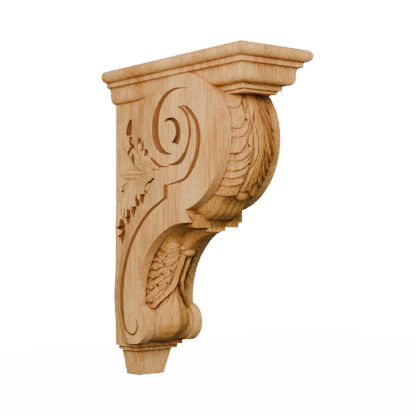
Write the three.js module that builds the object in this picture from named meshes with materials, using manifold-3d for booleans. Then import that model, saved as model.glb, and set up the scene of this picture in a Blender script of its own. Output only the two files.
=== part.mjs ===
// A carved beech corbel bracket, one solid piece of wood.
// Millimetres. X runs across the bracket, -Y points away from the wall, Z is up.
// Heights below are measured from the underside of the foot and depths from the wall.
import * as THREE from 'three';
import { mergeVertices } from 'three/addons/utils/BufferGeometryUtils.js';
import Module from 'manifold-3d';

const wasm = await Module();
wasm.setup();

// Whole bracket
const height = 356;
const capHalfWidth = 51.9;
const capDepth = 247.9;

// Body
const cheekHalfWidth = 41.2;
const recessHalfWidth = 30;
const arris = 4;
const bodyTop = 340;

// Upper scroll: two arcs that meet at its front
const scroll = { depth: 127.6, z: 266, radius: 78.9, topRadius: 71 };
const recessRadius = 70;

// Collar under the scroll
const collar = { depth: 142.5, top: 188.5, bottom: 174.8 };
const collarBlock = { halfWidth: 12, depth: 147.8, bottom: 165 };
const collarFlute = { inner: 12, outer: 22.3, floor: 138.5 };

// Lower hollow, centred in front of it, and the roll that ends it
const hollow = { depth: 133, z: 90, back: 53, floorRadius: 88 };
const roll = { depth: 47.5, z: 62, radius: 22.5 };

// Base and tapered foot: half width, depth and height of each level
const baseBlock = { halfWidth: 34.1, depth: 41.3, bottom: 34.9, top: 46 };
const baseStep = { halfWidth: 29.9, depth: 36.2, bottom: 30, top: 36 };
const foot = { topHalfWidth: 25.5, topDepth: 31.3, halfWidth: 18.4, depth: 24.5, top: 31 };

const radians = THREE.MathUtils.degToRad;
const smooth = (value, low, high) => THREE.MathUtils.smoothstep(value, low, high);

// A closed geometry as a solid, with its faces turned outward
function solid(geometry) {
  const bare = geometry.clone();
  bare.deleteAttribute('normal');
  bare.deleteAttribute('uv');
  const merged = mergeVertices(bare, 1e-4);
  const points = merged.attributes.position;
  const faces = Array.from(merged.index.array);
  const [a, b, c] = [new THREE.Vector3(), new THREE.Vector3(), new THREE.Vector3()];
  let volume = 0;
  for (let i = 0; i < faces.length; i += 3) {
    a.fromBufferAttribute(points, faces[i]);
    b.fromBufferAttribute(points, faces[i + 1]);
    c.fromBufferAttribute(points, faces[i + 2]);
    volume += a.dot(b.cross(c));
  }
  if (volume < 0) faces.reverse();
  return new wasm.Manifold(new wasm.Mesh({
    numProp: 3,
    vertProperties: new Float32Array(points.array),
    triVerts: new Uint32Array(faces),
  }));
}

const joined = (solids) => solids.reduce((whole, piece) => whole.add(piece));
const mirrored = (piece) => piece.mirror([1, 0, 0]);

// Each point of a geometry moved by a function of its place
function shaped(geometry, move) {
  const points = geometry.attributes.position;
  for (let i = 0; i < points.count; i++) {
    const place = move(points.getX(i), points.getY(i), points.getZ(i));
    points.setXYZ(i, place[0], place[1], place[2]);
  }
  return solid(geometry);
}

// A value read off a smooth curve through a few [at, value] points
function profile(points) {
  const at = points.map((point) => point[0]);
  return (place) => {
    const clamped = THREE.MathUtils.clamp(place, at[0], at[at.length - 1]);
    const next = Math.max(1, at.findIndex((value) => value >= clamped));
    const share = smooth(clamped, at[next - 1], at[next]);
    const even = (clamped - at[next - 1]) / (at[next] - at[next - 1]);
    return THREE.MathUtils.lerp(points[next - 1][1], points[next][1], 0.5 * (share + even));
  };
}

// A straight block, the same on both sides of the middle
function block(halfWidth, backDepth, frontDepth, bottom, top) {
  const box = new THREE.BoxGeometry(2 * halfWidth, frontDepth - backDepth, top - bottom);
  return solid(box.translate(0, -(frontDepth + backDepth) / 2, (top + bottom) / 2));
}

// A side outline of depths and heights, extruded across the bracket
function across(outline, left, right, bevel) {
  const geometry = new THREE.ExtrudeGeometry(outline, {
    depth: right - left - 2 * bevel,
    curveSegments: 8,
    bevelEnabled: bevel > 0,
    bevelThickness: bevel,
    bevelSize: bevel,
    bevelOffset: -bevel,
    bevelSegments: 1,
  });
  const turn = new THREE.Matrix4().makeBasis(
    new THREE.Vector3(0, -1, 0), new THREE.Vector3(0, 0, 1), new THREE.Vector3(-1, 0, 0));
  return solid(geometry.applyMatrix4(turn).translate(right - bevel, 0, 0));
}

// The cap's edge, from its top down: bullnose, fillet, hollow face and two small fillets
function capEdge(reach) {
  const edge = new THREE.Path();
  const nose = { radius: 7.25, z: 348.75 };
  edge.moveTo(reach - nose.radius, height);
  edge.absarc(reach - nose.radius, nose.z, nose.radius, Math.PI / 2, -Math.PI / 2, true);
  edge.lineTo(reach - 7.7, 341.5);
  edge.lineTo(reach - 7.7, 336.4);
  edge.lineTo(reach - 11.2, 335.4);
  edge.bezierCurveTo(reach - 13.2, 334, reach - 13.4, 331, reach - 13.4, 326);
  edge.bezierCurveTo(reach - 13.5, 321, reach - 15.5, 317.4, reach - 19.8, 317.2);
  edge.lineTo(reach - 23.9, 317.2);
  edge.lineTo(reach - 23.9, 311.7);
  edge.lineTo(reach - 27.6, 311.7);
  edge.lineTo(reach - 27.6, 308.4);
  return edge.getPoints(4);
}

// The same edge turns the front corners on a mitre, so the cap is the part that two extrusions share
function cap() {
  const side = capEdge(capHalfWidth);
  const otherSide = side.map((point) => new THREE.Vector2(-point.x, point.y)).reverse();
  const widthwise = new THREE.ExtrudeGeometry(
    new THREE.Shape([...side, ...otherSide]), { depth: capDepth + 1, bevelEnabled: false });
  widthwise.rotateX(Math.PI / 2);
  const front = capEdge(capDepth);
  const wall = [new THREE.Vector2(0, 308.4), new THREE.Vector2(0, height)];
  const depthwise = across(new THREE.Shape([...front, ...wall]), -capHalfWidth - 1, capHalfWidth + 1, 0);
  return solid(widthwise).intersect(depthwise);
}

// The cheeks' outline: scroll, collar, lower hollow and roll
function cheekOutline() {
  const outline = new THREE.Shape();
  const topDepth = scroll.depth + scroll.radius - scroll.topRadius;
  const collarAngle = Math.asin((collar.top - scroll.z) / scroll.radius);
  const rollAngle = Math.acos((hollow.back - roll.depth) / roll.radius);
  outline.moveTo(0, baseBlock.top - 7);
  outline.lineTo(0, bodyTop);
  outline.lineTo(topDepth, bodyTop);
  outline.absarc(topDepth, scroll.z, scroll.topRadius, Math.PI / 2, 0, true);
  outline.absarc(scroll.depth, scroll.z, scroll.radius, 0, collarAngle, true);
  outline.lineTo(collar.depth, collar.bottom);
  outline.bezierCurveTo(97, collar.bottom, hollow.back, 138, hollow.back, 88);
  outline.absarc(roll.depth, roll.z, roll.radius, rollAngle, -Math.PI / 2, true);
  return outline;
}

// The floor between the cheeks, set back from them
function coreOutline() {
  const outline = new THREE.Shape();
  outline.moveTo(0, baseBlock.top - 7);
  outline.lineTo(0, bodyTop);
  outline.absarc(scroll.depth, scroll.z, recessRadius, radians(75), radians(-76), true);
  outline.lineTo(collar.depth, collar.top);
  outline.lineTo(collar.depth, hollow.z + hollow.floorRadius - 1);
  outline.absarc(hollow.depth, hollow.z, hollow.floorRadius, radians(86), radians(184), false);
  outline.absarc(roll.depth, roll.z, roll.radius, radians(92), radians(-90), true);
  return outline;
}

// How far the side stands from the middle: proud over the scroll, and sunk towards the wall
const sideAtWall = profile([
  [30, 34], [60, 34.4], [92, 36.2], [125, 34], [160, 33.2], [200, 32.4], [320, 31.4],
]);
const rampEnd = profile([
  [38, 40], [52, 32], [62, 24], [80, 20], [100, 20.5], [128, 27], [152, 40], [174, 58], [190, 79],
  [200, 99], [216, 105], [232, 97], [258, 91], [282, 85], [300, 90], [313, 102], [336, 124],
]);
function sideFace(depth, z) {
  const rise = smooth(depth, 0.3 * rampEnd(z), rampEnd(z));
  return THREE.MathUtils.lerp(sideAtWall(z), cheekHalfWidth, rise);
}

// The wood cleared away from one side, down to the ramp
function sideClearance() {
  const clearance = new THREE.BoxGeometry(1, 1, 1, 1, 6, 12);
  return shaped(clearance, (x, y, z) => {
    const depth = 128 * (y + 0.5) - 2;
    const level = 302 * (z + 0.5) + 36;
    const clear = smooth(depth, 0.96 * rampEnd(level), 1.04 * rampEnd(level));
    const face = sideFace(depth, level) + 0.6 * clear;
    return [x > 0 ? -face : -60, -depth, level];
  });
}

// A tapering V groove in the left cheek, through [depth, z, width] points
function groove(points, sharpness) {
  const steps = Math.round(1.3 * (points.length - 1));
  const places = points.map((point) => new THREE.Vector3(...point));
  const line = new THREE.CatmullRomCurve3(places, false, 'centripetal');
  const prism = new THREE.CylinderGeometry(1, 1, 1, 3, steps);
  return shaped(prism, (x, y, z) => {
    const share = 0.5 - y;
    const at = line.getPoint(share);
    const along = line.getTangent(share).setZ(0).normalize();
    const half = Math.max(0.25, at.z / 2);
    const deep = Math.max(0.4, sharpness * half);
    const offset = Math.sign(x) * (Math.abs(x) > 0.1 ? half * (1 + 1.5 / deep) : 0);
    const raised = z > 0 ? -deep : 1.5;
    return [-(sideFace(at.x, at.y) + raised), -(at.x - along.y * offset), at.y + along.x * offset];
  });
}

// The scroll's spiral grooves, and the long one that runs down the cheek and hooks round the roll
const outerGroove = [
  [152, 318.6, 0.5], [140, 320.2, 1], [125, 320.2, 2.8], [110.6, 315.5, 5], [98, 303.8, 8.5],
  [91.6, 289, 10.6], [91.2, 273, 11], [97.5, 259.5, 8.5], [109, 252, 4], [121, 250, 0.5],
];
const innerGroove = [
  [131, 301.2, 0.5], [139.5, 297.6, 3], [148.6, 288.2, 3.6], [152.5, 272.5, 4], [147.8, 255.6, 4],
  [139, 244, 6.2], [128, 239, 4.2], [114, 238.8, 0.5],
];
const middleGroove = [
  [138, 301.8, 0.5], [149.5, 296.2, 4], [162, 283, 5.6], [166.8, 268, 7.2], [164.6, 250, 7], [155.8, 234, 6],
  [143, 222, 3.6], [126, 218.4, 2], [112, 216.8, 1],
];
const longGroove = [
  [109, 203.5, 3], [98, 198, 3.4], [79, 188.6, 4], [56.6, 170.2, 4.8], [39.8, 148.4, 5.6],
  [28.6, 123.4, 6.6], [23.6, 98, 7.4], [23.8, 78, 7], [28.4, 59.6, 4.4], [37, 51.2, 2.4],
  [48, 50.6, 2.8], [54, 60, 3], [50, 68.6, 0.8],
];
const notch = [[108.6, 217.2, 7], [108.6, 209, 7.4], [108.6, 201, 7]];
const stemGroove = [[81, 249.5, 0.5], [90, 243.5, 3], [100, 238, 2], [116, 236.3, 0.5]];

// The crescent beside the scroll's eye, between two arcs
function crescent() {
  const outline = new THREE.Shape();
  outline.absarc(115, 274.4, 13, radians(112), radians(-70), true);
  outline.lineTo(132.5, 258.8);
  outline.bezierCurveTo(141, 272, 137, 290, 118, 290.9);
  outline.bezierCurveTo(113, 291, 109, 289.4, 106.3, 286);
  return across(outline, -cheekHalfWidth - 1, -cheekHalfWidth + 4.5, 0);
}

// A dark pocket cut between two lobes, through the corners of its mouth
function pocket(corners) {
  const mouth = new THREE.Shape(corners.map((corner) => new THREE.Vector2(corner[0], corner[1])));
  const middle = new THREE.Box2().setFromPoints(mouth.getPoints()).getCenter(new THREE.Vector2());
  const floor = sideFace(middle.x, middle.y) - 3.5;
  return across(mouth, -cheekHalfWidth - 4, -floor, 0);
}

// The pockets' mouths as [depth, z] corners
const pockets = [
  [[21, 281], [25, 293], [31, 298], [34, 292], [32, 279]],
  [[28, 278], [34.6, 276.8], [32.5, 270], [40, 264], [33, 257.4], [27, 253], [30, 261], [35.5, 264],
    [29, 271]],
  [[36.7, 256], [41, 256], [44, 248], [44.4, 240], [38.5, 247]],
  [[49.5, 274], [54.1, 273.7], [58.3, 270], [49.5, 266]],
  [[60.2, 268], [63.8, 268], [64.4, 262], [60.4, 257]],
  [[65.7, 260], [73.1, 258.4], [76.2, 254.7], [70.6, 251.6]],
  [[64.6, 210], [70, 209], [70.5, 215.5], [87.3, 224.4], [86.7, 225.5], [70, 219]],
  [[55, 209], [64.6, 209], [60.4, 198.4], [57, 198.4]],
  [[46.7, 210.5], [49.8, 204], [52, 196.2], [44.1, 197], [44.6, 204]],
  [[36.2, 197.4], [45.2, 195.8], [41, 183.7], [38, 184]],
  [[26.4, 198.4], [29.5, 191], [33.1, 185.3], [30, 175.3], [22, 184.5], [25.6, 187]],
  [[14.6, 182.6], [21.5, 172], [18.3, 158.4], [14.6, 152], [8.8, 162.6], [14, 168.9], [8.4, 171.6]],
  [[9.4, 213.6], [17.3, 217.4], [21.5, 213.6]],
];

// A lobe of the side leaf, swelling from its root and rounded at its tip
function lobe(start, bend, tip, halfWidth, raised) {
  const line = new THREE.QuadraticBezierCurve(
    new THREE.Vector2(...start), new THREE.Vector2(...bend), new THREE.Vector2(...tip));
  const blade = new THREE.BoxGeometry(1, 1, 1, 3, 2, 1);
  return shaped(blade, (x, y, z) => {
    const share = x + 0.5;
    const at = line.getPoint(share);
    const along = line.getTangent(share);
    const swell = Math.sqrt(Math.max(0.01, Math.sin(Math.PI * (0.12 + 0.88 * share ** 2))));
    const offset = 2 * y * halfWidth * swell;
    const crown = raised * (0.35 + 0.65 * swell) * (1 - 3 * y * y);
    const [depth, level] = [at.x - along.y * offset, at.y + along.x * offset];
    return [-(sideFace(depth, level) + (z > 0 ? crown : -4)), -depth, level];
  });
}

// The side leaf springs from the scroll's band and spreads over the sunk ground
// Each lobe has its root, bend and tip as [depth, z], then its half width and how far it rises
const sideLobes = [
  [[84, 233], [52, 236], [16, 277], 7.5, 3.2],
  [[84, 234], [56, 238], [33, 263], 4.5, 3],
  [[86, 236], [60, 242], [53, 267], 5.5, 3.2],
  [[88, 238], [72, 242], [63, 258], 4, 3],
  [[98, 236], [84, 238], [74, 251], 4, 2.8],
  [[88, 230], [50, 231], [10, 234], 5, 2.6],
  [[88, 228], [50, 227], [13, 220], 4.5, 2.8],
  [[86, 227], [72, 224], [66, 210], 3.5, 3],
  [[80, 227], [60, 223], [53, 200], 4.5, 3.2],
  [[74, 228], [48, 222], [43, 193], 4.5, 3.2],
  [[66, 229], [40, 222], [34, 185], 4.5, 3.2],
  [[58, 229], [26, 220], [23, 175], 5, 3.2],
  [[46, 228], [9, 214], [7, 156], 6.5, 3.4],
];

const leafColumns = [0, 4.5, 7, 9.5, 16, 24, 30];

// A leaf from its tip up: rows of leaflets whose lower edges stand proud, swept up to a raised stem
// Each row starts at its edge's arc, and place(x, arc, raised) puts a point on the leaf's surface
function leaf(place, edges, last, sweep, raised, stem) {
  const rows = [];
  edges.forEach((edge, row) => {
    const next = row + 1 < edges.length ? edges[row + 1] : last;
    rows.push([edge, 0], [edge + 0.7, 1], [THREE.MathUtils.lerp(edge, next, 0.6), 0.75]);
  });
  rows.push([last, 0]);
  const columns = 2 * (leafColumns.length - 1);
  const sheet = new THREE.BoxGeometry(1, 1, 1, columns, rows.length - 1, 1);
  return shaped(sheet, (x, y, z) => {
    const column = Math.round(x * columns);
    const out = leafColumns[Math.abs(column)];
    const [arc, edge] = rows[Math.round((y + 0.5) * (rows.length - 1))];
    const lift = sweep * (1 - out / recessHalfWidth) ** 1.4;
    const blade = raised * edge * smooth(out, 6, 12) * (1 - 0.5 * smooth(out, 24, 30));
    const rib = stem * (1 - smooth(out, 4, 7)) - 1.2 * (1 - Math.min(1, Math.abs(out - 7) / 2));
    return place(Math.sign(column) * out, Math.min(arc + lift, last), z > 0 ? blade + rib : -14);
  });
}

// The upper leaf bulges out between the cheeks, round the scroll's centre, above a smooth cushion
// The crown gives the radius at an angle, and the edges are arcs at the leaf's own radius
const leafCrown = profile([
  [-78, 93], [-66, 92], [-56, 86.5], [-50, 86.5], [-43, 88.5], [-27, 89], [-12, 91], [2, 89], [14, 86],
  [34, 85.5],
]);
const leafArc = 85;
const leafTop = radians(34) * leafArc;
const leafEdges = [-71, -60, -48, -36, -25, -9, 5, 17];
function onUpperLeaf(x, arc, raised) {
  const angle = arc / leafArc;
  const crown = 1 - Math.min(1, Math.abs(x) / recessHalfWidth) ** 2.4;
  const radius = THREE.MathUtils.lerp(69, leafCrown(THREE.MathUtils.radToDeg(angle)), crown) + raised;
  return [x, -(scroll.depth + radius * Math.cos(angle)), scroll.z + radius * Math.sin(angle)];
}

// The cushion, the leaf over it and the leaf's curled tip
function upperLeaf() {
  const cushion = shaped(new THREE.BoxGeometry(1, 1, 1, 8, 4, 1), (x, y, z) => {
    const arc = THREE.MathUtils.lerp(radians(-74), radians(-42), y + 0.5) * leafArc;
    return onUpperLeaf(2 * recessHalfWidth * x, arc, z > 0 ? -0.4 : -16);
  });
  const blade = leaf(onUpperLeaf, leafEdges, leafTop, 30, 2.6, 2.2);
  const curl = new THREE.SphereGeometry(1, 8, 6).scale(7.5, 6, 5.5);
  const tip = onUpperLeaf(0, radians(-46) * leafArc, -2.5);
  return joined([cushion, blade, solid(curl.translate(...tip))]);
}

// The lower leaf fills the hollow, round the hollow's centre, with a rib down each side to the roll
// The crown gives how far it swells from the floor at an angle
const lowerCrown = profile([[-12, 26], [20, 27], [50, 26.5], [60, 25]]);
const lowerArc = 75;
const lowerEdges = [-15, -2, 11, 24, 37];
function onLowerLeaf(x, arc, raised) {
  const angle = arc / lowerArc;
  const crown = 1 - Math.min(1, Math.abs(x) / recessHalfWidth) ** 2;
  const radius = hollow.floorRadius + 1 - lowerCrown(THREE.MathUtils.radToDeg(angle)) * crown - raised;
  return [x, -(hollow.depth - radius * Math.cos(angle)), hollow.z + radius * Math.sin(angle)];
}

function lowerLeaf() {
  const blade = leaf(onLowerLeaf, lowerEdges, radians(58) * lowerArc, 26, 3, 2);
  const rib = shaped(new THREE.BoxGeometry(1, 1, 1, 5, 2, 1), (x, y, z) => {
    const arc = THREE.MathUtils.lerp(-9, 62, x + 0.5);
    const out = 3 + 22 * (1 - smooth(arc, -12, 34)) ** 1.2;
    return onLowerLeaf(out + 6 * y, arc, z > 0 ? 3.6 - 6 * Math.abs(y) : -4);
  });
  return joined([blade, rib, mirrored(rib)]);
}

// The tongue hangs from the collar's middle block over the lower leaf and ends in a rolled tip
const tongueCrown = profile([[56, 61.5], [66, 63.5], [76, 66], [90, 70], [98, 73], [102, 77]]);
function tongue() {
  const body = shaped(new THREE.BoxGeometry(1, 1, 1, 4, 6, 1), (x, y, z) => {
    const turn = THREE.MathUtils.lerp(54, 101, y + 0.5);
    const angle = radians(turn);
    const halfWidth = 10.5 + 2.5 * smooth(turn, 56, 70);
    const radius = z > 0 ? tongueCrown(turn) + 9 * Math.abs(2 * x) ** 2.6 : 92;
    const depth = hollow.depth - radius * Math.cos(angle);
    return [2 * halfWidth * x, -depth, hollow.z + radius * Math.sin(angle)];
  });
  const curl = new THREE.SphereGeometry(1, 8, 6).scale(9, 7.5, 7);
  return body.add(solid(curl.translate(0, -95.5, 142.5)));
}

// The gadrooned ball in the middle of the roll
function ball() {
  const sphere = new THREE.SphereGeometry(1, 24, 6).rotateX(Math.PI / 2);
  return shaped(sphere, (x, y, z) => {
    const ribbed = 1 + 0.035 * Math.cos(12 * Math.atan2(y, x)) * (1 - z * z);
    return [24 * x * ribbed, -55 + 23.5 * y * ribbed, roll.z - 1 + 23 * z];
  });
}

// The base block, the step under it and the foot, tapered downward
function footing() {
  const taper = new THREE.BoxGeometry(1, 1, 1);
  const leg = shaped(taper, (x, y, z) => {
    const [halfWidth, depth] = z > 0 ? [foot.topHalfWidth, foot.topDepth] : [foot.halfWidth, foot.depth];
    return [2 * halfWidth * x, depth * (y - 0.5), foot.top * (z + 0.5)];
  });
  const upper = block(baseBlock.halfWidth, 0, baseBlock.depth, baseBlock.bottom, baseBlock.top);
  const step = block(baseStep.halfWidth, 0, baseStep.depth, baseStep.bottom, baseStep.top);
  return joined([upper, step, leg]);
}

// The collar's middle block, and the flute sunk on its left
function collarWork() {
  const centre = block(collarBlock.halfWidth, 120, collarBlock.depth, collarBlock.bottom, collar.top + 4);
  const width = collarFlute.outer - collarFlute.inner;
  const cut = new THREE.BoxGeometry(width, 40, 24);
  cut.translate(-(collarFlute.inner + collarFlute.outer) / 2, -collarFlute.floor - 20, collar.top - 12);
  return { centre, flute: solid(cut) };
}

function corbel() {
  const wholeWidth = across(cheekOutline(), -cheekHalfWidth, cheekHalfWidth, arris);
  const between = block(recessHalfWidth, -1, capDepth, baseBlock.top - 12, bodyTop + 1);
  const core = across(coreOutline(), -recessHalfWidth, recessHalfWidth, 0);
  const recess = between.subtract(core);
  const clearance = sideClearance();
  const body = wholeWidth.subtract(recess).subtract(clearance).subtract(mirrored(clearance));

  const { centre, flute } = collarWork();
  const collared = body.subtract(flute).subtract(mirrored(flute)).add(centre);

  const sideLeaf = joined(sideLobes.map((sizes) => lobe(...sizes)));
  const cuts = joined([
    groove(outerGroove, 0.8),
    groove(innerGroove, 1.1),
    groove(middleGroove, 0.95),
    groove(longGroove, 0.95),
    groove(notch, 0.9),
    groove(stemGroove, 1.1),
    crescent(),
    ...pockets.map(pocket),
  ]);
  const carved = collared.add(sideLeaf).add(mirrored(sideLeaf)).subtract(cuts).subtract(mirrored(cuts));
  const behindWall = block(80, -40, 0, -5, height + 5);
  return joined([carved, cap(), upperLeaf(), lowerLeaf(), tongue(), ball(), footing()]).subtract(behindWall);
}

// The finished solid as one mesh
function meshOf(piece, name, material) {
  const { vertProperties, triVerts } = piece.getMesh();
  const geometry = new THREE.BufferGeometry();
  geometry.setAttribute('position', new THREE.BufferAttribute(vertProperties, 3));
  geometry.setIndex(new THREE.BufferAttribute(triVerts, 1));
  geometry.computeVertexNormals();
  const mesh = new THREE.Mesh(geometry, material);
  mesh.name = name;
  return mesh;
}

const beech = new THREE.MeshStandardMaterial({ color: 0xc9a06c, roughness: 0.55, metalness: 0 });
const bracket = meshOf(corbel(), 'corbel', beech);
bracket.position.z = -height / 2;

const group = new THREE.Group();
group.add(bracket);
export default group;
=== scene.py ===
# %% [markdown]
# # A carved beech corbel bracket
#
# The real object is one block of beech. A moulded cap carries the shelf, a pair of cheeks curls round in a scroll
# and runs down to a small roll, and leaves are carved between the cheeks and on both sides. The simple solid that
# we load first has these forms with few faces. Here the same block is carved again with many more, then given
# its wood, and photographed.

# %% Load the frame
import math
import bmesh
import bpy
import numpy as np
from mathutils import Matrix, Vector
from mathutils.geometry import interpolate_bezier


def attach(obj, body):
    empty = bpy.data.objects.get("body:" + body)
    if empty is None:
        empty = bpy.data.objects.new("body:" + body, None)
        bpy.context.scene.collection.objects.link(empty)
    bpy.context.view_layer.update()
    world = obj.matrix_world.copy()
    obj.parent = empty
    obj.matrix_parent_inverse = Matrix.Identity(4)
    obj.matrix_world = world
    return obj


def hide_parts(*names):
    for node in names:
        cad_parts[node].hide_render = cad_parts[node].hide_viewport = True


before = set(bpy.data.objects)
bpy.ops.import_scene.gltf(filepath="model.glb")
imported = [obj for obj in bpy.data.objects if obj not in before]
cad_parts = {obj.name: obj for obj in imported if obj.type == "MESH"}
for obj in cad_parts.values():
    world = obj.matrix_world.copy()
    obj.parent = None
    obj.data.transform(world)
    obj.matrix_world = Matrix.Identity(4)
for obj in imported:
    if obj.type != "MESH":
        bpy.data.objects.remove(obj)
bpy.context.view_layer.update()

# %% [markdown]
# ## Sizes
#
# A carver marks a corbel out from its back and from the bottom of its foot, so every size here is a depth from the
# wall or a height above the foot, in millimetres. The finished mesh is brought to metres, with the origin on the
# wall at half the height, in one step at the end.

# %% Named sizes
HEIGHT = 356
CAP_HALF, CAP_DEPTH = 51.9, 247.9
CHEEK_HALF, RECESS_HALF = 41.2, 30
BODY_TOP = 340
SCROLL_ARRIS, HOLLOW_ARRIS = 4, 1.2
SCROLL = dict(depth=127.6, z=266, radius=78.9, top_radius=71)
RECESS_RADIUS = 70
COLLAR = dict(depth=142.5, top=188.5, bottom=174.8)
COLLAR_BLOCK = dict(half=12, depth=147.8, bottom=165)
COLLAR_FLUTE = dict(inner=12, outer=22.3, floor=138.5)
HOLLOW = dict(depth=133, z=90, back=53, floor_radius=88)
ROLL = dict(depth=47.5, z=62, radius=22.5, waist=19.5)
BASE_TOP = 46

# %% [markdown]
# ## Small helpers
#
# Three small functions turn a few named numbers into smooth shapes. `ease` goes from 0 to 1 without a corner,
# `through` reads a smooth curve that passes through a few points, and `along` walks a smooth line in the plane.

# %% Curves from a few numbers
def ease(value, low, high):
    share = min(1, max(0, (value - low) / (high - low)))
    return share * share * (3 - 2 * share)


def mix(a, b, share):
    return a + (b - a) * share


def through(points):
    at = [p[0] for p in points]

    def read(place):
        place = min(at[-1], max(at[0], place))
        k = next(i for i in range(1, len(at)) if at[i] >= place)
        straight = (place - at[k - 1]) / (at[k] - at[k - 1])
        return mix(points[k - 1][1], points[k][1], (ease(straight, 0, 1) + straight) / 2)
    return read


def along(points, share):
    """The place on a smooth line through the points, and its direction."""
    spans = len(points) - 1
    k = min(spans - 1, int(share * spans))
    t = share * spans - k
    a, b, c, d = (Vector(points[min(spans, max(0, i))]) for i in (k - 1, k, k + 1, k + 2))
    place = 0.5 * (2 * b + (c - a) * t + (2 * a - 5 * b + 4 * c - d) * t**2 + (3 * b - a - 3 * c + d) * t**3)
    slope = 0.5 * ((c - a) + 2 * (2 * a - 5 * b + 4 * c - d) * t + 3 * (3 * b - a - 3 * c + d) * t**2)
    return place, Vector(slope[:2]).normalized()


def arc(centre, radius, start, end, steps):
    """Points on an arc as (depth, z), with its angles in degrees from straight out to straight up."""
    turns = [math.radians(mix(start, end, i / steps)) for i in range(steps + 1)]
    return [(centre[0] + radius * math.cos(turn), centre[1] + radius * math.sin(turn)) for turn in turns]

# %% [markdown]
# ## Carving with Booleans
#
# The block could be pulled into shape as one surface, but then every groove would need its own loops of edges. A
# carver works by taking wood away and leaving forms standing, and the Boolean modifier does the same: each form is a
# closed mesh that is joined to the block or cut from it. Each form carries one of three finishes in its material
# slot, and the modifier hands it on, each with a crisp edge. A cut face keeps the darker colour of the end grain that
# a cutter leaves in beech, painted much darker still as the shade inside grooves and pockets. A leaf keeps the duller
# finish that a gouge leaves, painted browner as the shade of the recess between the cheeks.

# %% Closed forms, and how they are combined
# The cut and carved finishes are darker partly as painted shade: the shade inside grooves and pockets, and in the
# recess between the cheeks.
WHOLE, CUT_PAINTED_SHADE, CARVED_PAINTED_SHADE = 0, 1, 2
slots = [bpy.data.materials.new(name) for name in ("beech_machined_sanded", "beech_deep_cut_painted_shade", "beech_hand_carved_painted_shade")]


def form(bm, name, side=WHOLE):
    """A closed bmesh as an object that has all three finishes in its slots and wears one of them."""
    bmesh.ops.recalc_face_normals(bm, faces=bm.faces[:])
    for face in bm.faces:
        face.smooth = True
        face.material_index = side
    mesh = bpy.data.meshes.new(name)
    bm.to_mesh(mesh)
    bm.free()
    for material in slots:
        mesh.materials.append(material)
    piece = bpy.data.objects.new(name, mesh)
    bpy.context.scene.collection.objects.link(piece)
    return piece


def mirrored(piece):
    """The same form on the other side of the middle."""
    bm = bmesh.new()
    bm.from_mesh(piece.data)
    bmesh.ops.scale(bm, vec=(-1, 1, 1), verts=bm.verts[:])
    bmesh.ops.reverse_faces(bm, faces=bm.faces[:])
    return form(bm, piece.name + "_other", bm.faces[:][0].material_index)


def carve(wood, pieces, how):
    """Join the pieces to each other, which is quick, and then join them to the wood or cut them from it."""
    first, *others = pieces
    for target, tools, operation in [(first, others, "UNION"), (wood, [first], how)]:
        for tool in tools:
            step = target.modifiers.new(tool.name, "BOOLEAN")
            step.operation, step.object, step.solver = operation, tool, "MANIFOLD"
        done = target.evaluated_get(bpy.context.evaluated_depsgraph_get())
        mesh = bpy.data.meshes.new_from_object(done)
        target.modifiers.clear()
        target.data = mesh
        for tool in tools:
            bpy.data.objects.remove(tool)


def sheet(columns, rows, place):
    """A closed slab: a grid laid out by place(u, v, top), and the same grid again as its underside."""
    bm = bmesh.new()
    bmesh.ops.create_grid(bm, x_segments=columns, y_segments=rows, size=1)
    under = bmesh.ops.extrude_face_region(bm, geom=bm.faces[:])["geom"]
    below = {item for item in under if isinstance(item, bmesh.types.BMVert)}
    for vert in bm.verts:
        vert.co = Vector(place(vert.co.x, vert.co.y, vert not in below))
    return bm


def plank(outline, left, right):
    """A side outline of (depth, z) points, drawn out across the bracket."""
    bm = bmesh.new()
    face = bm.faces.new([bm.verts.new((left, -depth, z)) for depth, z in outline])
    drawn = bmesh.ops.extrude_face_region(bm, geom=[face])["geom"]
    bmesh.ops.translate(bm, vec=(right - left, 0, 0), verts=[v for v in drawn if isinstance(v, bmesh.types.BMVert)])
    return bm


def soften(bm, edges, width, segments):
    """Take the sharpness off some edges."""
    bmesh.ops.bevel(bm, geom=edges, offset=width, offset_type="OFFSET", segments=segments, profile=0.5,
                    affect="EDGES", material=-1, clamp_overlap=True)


def block(half, back, front, bottom, top, softened=0.5):
    """A plain block across the middle of the bracket, between two depths and two heights."""
    bm = bmesh.new()
    bmesh.ops.create_cube(bm, size=1)
    bmesh.ops.scale(bm, vec=(2 * half, front - back, top - bottom), verts=bm.verts[:])
    bmesh.ops.translate(bm, vec=(0, -(front + back) / 2, (top + bottom) / 2), verts=bm.verts[:])
    if softened:
        soften(bm, bm.edges[:], softened, 2)
    return bm

# %% [markdown]
# ## The cheeks and the wood between them
#
# From the side a corbel is one flowing line: a scroll, a small square collar, a hollow, and a roll. The scroll is two
# arcs that meet at the front and the hollow is a Bezier curve, so a few radii give the whole line. The core stands
# 9 mm back from the cheeks, and the leaves grow on it. Round the scroll the outer arris of each cheek was rounded with
# a cutter and then sanded, so it is bevelled 4 mm. Along the hollow it is bevelled 1.2 mm, and the inner arris only
# lost its sharpness.

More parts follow.
